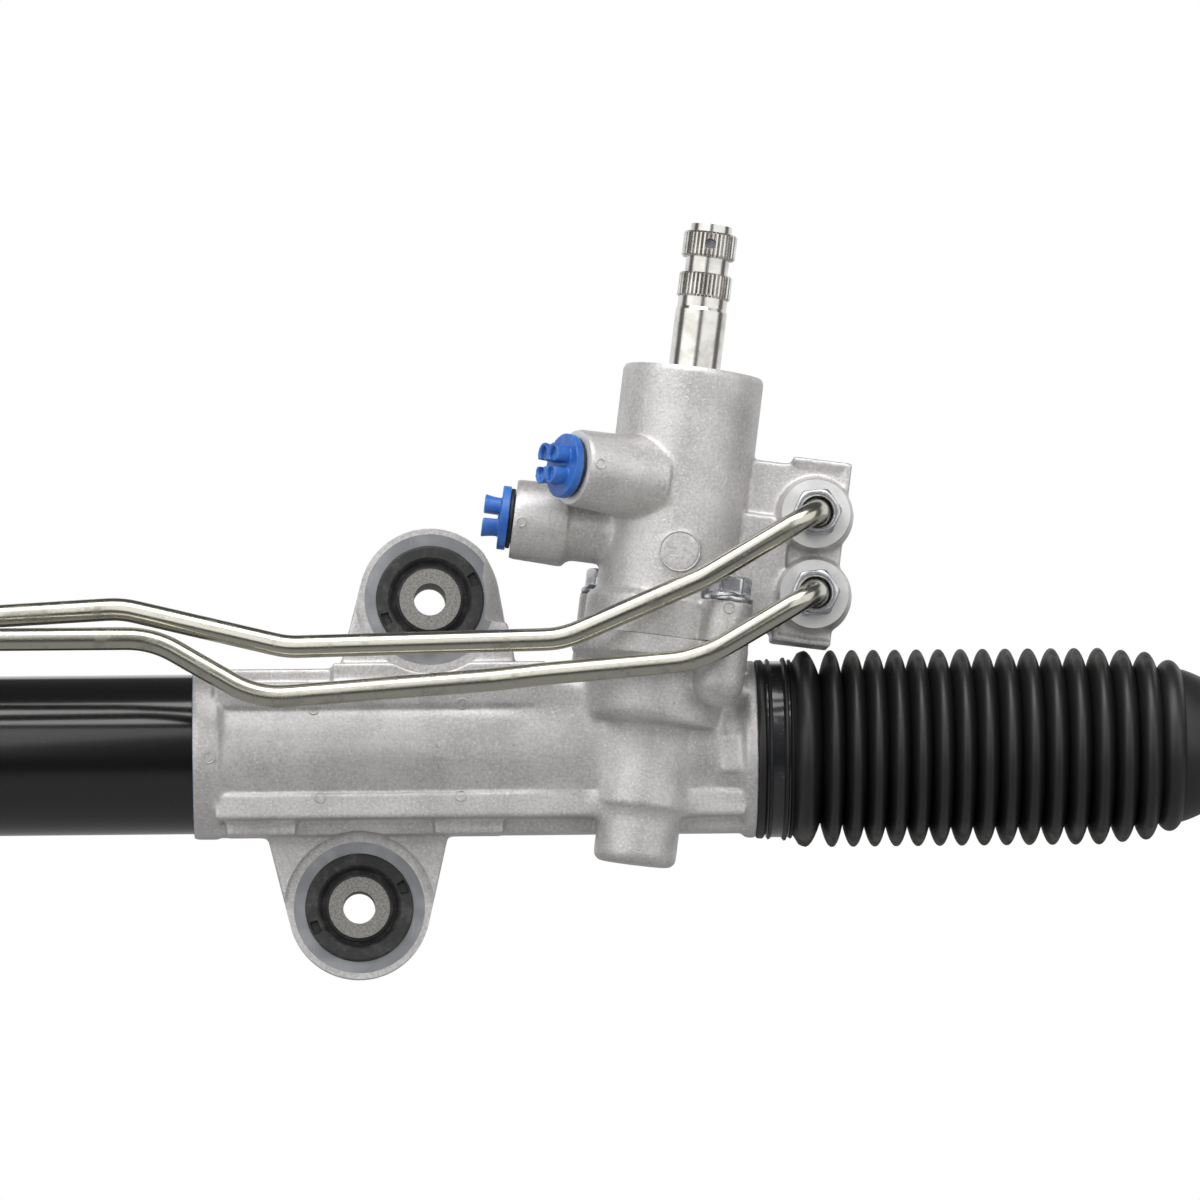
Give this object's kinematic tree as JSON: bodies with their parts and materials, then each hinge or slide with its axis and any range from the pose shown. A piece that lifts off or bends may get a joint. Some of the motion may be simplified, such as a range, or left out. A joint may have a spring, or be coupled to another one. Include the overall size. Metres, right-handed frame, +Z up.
{
  "type": "steering rack",
  "caption": "Hydraulic rack-and-pinion steering gear: cast housing with tilted valve tower, cylinder tube, transfer pipes, bellows, tie rods and rubber-bushed mounting ears.",
  "frame": {"origin": "centre of the lower mounting-bush hole, on the back face of its steel sleeve", "axes": "+X along the rack toward the pinion end, +Y out of the back toward the cross member it bolts to, +Z up toward the steering column side"},
  "size_m": [1.1476, 0.0978, 0.2396],
  "materials": {
    "cast_aluminium": "fine cast grain, satin",
    "black_tube_paint": "gloss",
    "zinc_nickel_steel": "satin plated",
    "bright_zinc": "bright zinc plate",
    "bush_rubber": "matte",
    "sleeve_steel": "dull phosphate",
    "bellows_rubber": "satin",
    "band_steel": "gloss black",
    "polished_steel": "ground and polished",
    "bearing_steel": "polished",
    "spring_steel": "oiled",
    "seal_rubber": "satin",
    "seal_plastic": "filled fluoroplastic",
    "seat_plastic": "natural nylon",
    "bronze": "sintered",
    "forged_steel": "forged and oiled",
    "yellow_zinc": "yellow chromate",
    "plug_blue": "gloss"
  },
  "bodies": {
    "housing": {"gear_housing": "cast_aluminium", "valve_housing": "cast_aluminium", "valve_housing_bolts": "bright_zinc", "valve_housing_o_ring": "seal_rubber", "cylinder_tube": "black_tube_paint", "upper_mount_rubber": "bush_rubber", "lower_mount_rubber": "bush_rubber", "upper_mount_sleeve": "sleeve_steel", "lower_mount_sleeve": "sleeve_steel", "tube_mount_cushion": "bush_rubber", "upper_transfer_pipe": "zinc_nickel_steel", "lower_transfer_pipe": "zinc_nickel_steel", "valve_pipe_nuts": "bright_zinc", "cylinder_pipe_nuts": "bright_zinc", "input_shaft_seal": "seal_rubber", "seal_snap_ring": "spring_steel", "input_shaft_bearing": "bearing_steel", "pinion_ball_bearing": "bearing_steel", "pinion_needle_bearing": "bearing_steel", "pinion_oil_seal": "seal_rubber", "rack_yoke": "cast_aluminium", "yoke_pad": "bronze", "yoke_spring": "spring_steel", "yoke_adjuster_plug": "cast_aluminium", "yoke_locknut": "cast_aluminium", "inner_rack_seal": "seal_rubber", "inner_seal_retainer": "bearing_steel", "end_rack_seal": "seal_rubber", "rack_bush": "bronze", "cylinder_end_stopper": "cast_aluminium", "stopper_wire_ring": "spring_steel", "right_boot": "bellows_rubber", "left_boot": "bellows_rubber", "boot_bands": "band_steel"},
    "rack": {"rack_bar": "polished_steel", "piston": "bearing_steel", "piston_ring": "seal_plastic", "right_rack_end_socket": "forged_steel", "left_rack_end_socket": "forged_steel", "lock_washers": "bright_zinc"},
    "pinion": {"pinion": "bearing_steel", "valve_sleeve": "bearing_steel", "valve_seal_rings": "seal_plastic"},
    "input_shaft": {"input_shaft": "polished_steel", "torsion_bar": "spring_steel", "torsion_bar_pin": "spring_steel"},
    "right_ball_seat": {"right_ball_seat": "seat_plastic"},
    "left_ball_seat": {"left_ball_seat": "seat_plastic"},
    "right_tie_rod": {"right_tie_rod": "forged_steel", "right_jam_nut": "yellow_zinc", "right_boot_clip": "spring_steel"},
    "left_tie_rod": {"left_tie_rod": "forged_steel", "left_jam_nut": "yellow_zinc", "left_boot_clip": "spring_steel"},
    "upper_port_plug": {"upper_port_plug": "plug_blue", "upper_plug_o_ring": "seal_rubber"},
    "lower_port_plug": {"lower_port_plug": "plug_blue", "lower_plug_o_ring": "seal_rubber"}
  },
  "joints": [
    {"name": "rack_slide", "type": "slide", "parent": "housing", "child": "rack", "axis": [1, 0, 0], "range_m": [-0.07, 0.07], "deforming": ["right_boot", "left_boot"]},
    {"name": "pinion_turn", "type": "hinge", "parent": "housing", "child": "pinion", "pos_m": [0.0921, -0.04355, 0.0495], "axis": [0.1323, 0, 0.9912], "range_deg": [-570, 570]},
    {"name": "input_shaft_twist", "type": "hinge", "parent": "pinion", "child": "input_shaft", "pos_m": [0.0921, -0.04355, 0.0495], "axis": [0.1323, 0, 0.9912], "range_deg": [-4, 4], "stiffness_Nm_per_rad": 115},
    {"name": "right_tie_rod_swing", "type": "hinge", "parent": "rack", "child": "right_ball_seat", "pos_m": [0.2325, -0.028, 0.0495], "axis": [0, 0, 1], "range_deg": [-8, 8]},
    {"name": "right_tie_rod_lift", "type": "hinge", "parent": "right_ball_seat", "child": "right_tie_rod", "pos_m": [0.2325, -0.028, 0.0495], "axis": [0, 1, 0], "range_deg": [-20, 20]},
    {"name": "left_tie_rod_swing", "type": "hinge", "parent": "rack", "child": "left_ball_seat", "pos_m": [-0.5051, -0.028, 0.0495], "axis": [0, 0, 1], "range_deg": [-8, 8]},
    {"name": "left_tie_rod_lift", "type": "hinge", "parent": "left_ball_seat", "child": "left_tie_rod", "pos_m": [-0.5051, -0.028, 0.0495], "axis": [0, 1, 0], "range_deg": [-20, 20]},
    {"name": "upper_plug_pull", "type": "slide", "parent": "housing", "child": "upper_port_plug", "axis": [-0.8832, -0.454, 0.1178], "range_m": [0, 0.02]},
    {"name": "lower_plug_pull", "type": "slide", "parent": "housing", "child": "lower_port_plug", "axis": [-0.9912, 0, 0.1323], "range_m": [0, 0.02]}
  ],
  "couplings": [
    {"joint": "pinion_turn", "follows": "rack_slide", "rad_per_m": -139.52}
  ]
}
